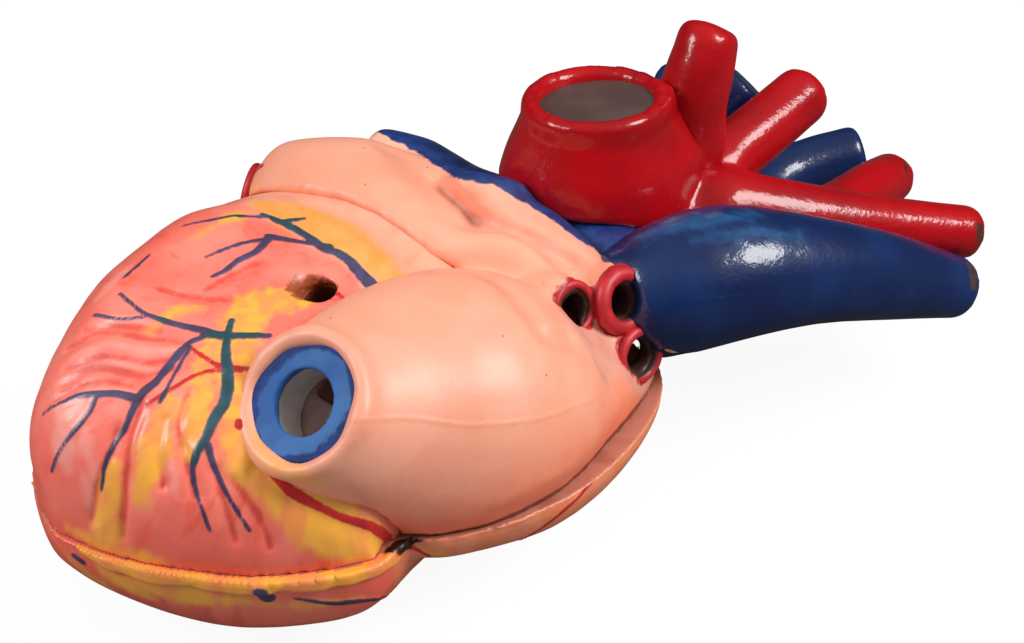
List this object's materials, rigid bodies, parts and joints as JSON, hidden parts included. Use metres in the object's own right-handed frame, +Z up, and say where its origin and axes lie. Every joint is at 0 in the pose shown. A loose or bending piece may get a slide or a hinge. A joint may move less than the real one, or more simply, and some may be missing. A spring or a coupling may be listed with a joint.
{
  "type": "human heart anatomy model",
  "caption": "Life-size human heart teaching model that opens front from back to show its chambers and valves, lying on its front, with cut great vessels and a stand socket.",
  "frame": {"origin": "middle of the small flat on the belly of the front wall, on the surface that the model rests on", "axes": "+X from the apex to the great vessels, +Y to the heart's own left side, +Z up to the heart's back"},
  "size_m": [0.2063, 0.1084, 0.0786],
  "materials": {
    "painted_muscle": "hand-painted salmon PVC under gloss lacquer, with blue, red and yellow brushwork",
    "painted_atrium": "hand-painted peach PVC under gloss lacquer",
    "painted_artery": "glossy crimson brush paint",
    "painted_vein": "glossy navy brush paint with lighter strokes",
    "painted_sleeve": "glossy mid-blue brush paint",
    "end_disc": "grey-brown moulded plastic",
    "brown_socket": "glossy brown moulded plastic",
    "valve_leaflet": "cream moulded plastic",
    "papillary_muscle": "painted red plastic",
    "tendon_cord": "ivory nylon cord",
    "magnet_steel": "nickel-plated disc",
    "peg_steel": "plain steel pin"
  },
  "bodies": {
    "front_half": {"front_wall": "painted_muscle", "front_magnets": "magnet_steel", "locating_pegs": "peg_steel"},
    "back_half": {"rear_ventricles": "painted_muscle", "rear_magnets": "magnet_steel", "atria": "painted_atrium", "inferior_vena_cava": "painted_sleeve", "stand_socket": "brown_socket", "aorta": "painted_artery", "aorta_end_disc": "end_disc", "vena_cava": "painted_vein", "pulmonary_artery": "painted_vein", "tricuspid_valve": "valve_leaflet", "mitral_valve": "valve_leaflet", "aortic_valve": "valve_leaflet", "pulmonary_valve": "valve_leaflet", "right_papillary_muscles": "papillary_muscle", "left_papillary_muscles": "papillary_muscle", "tricuspid_cords": "tendon_cord", "mitral_cords": "tendon_cord"}
  },
  "joints": [
    {"name": "back_lift", "type": "slide", "parent": "front_half", "child": "back_half", "axis": [0, 0, 1], "range_m": [0, 0.08]}
  ]
}
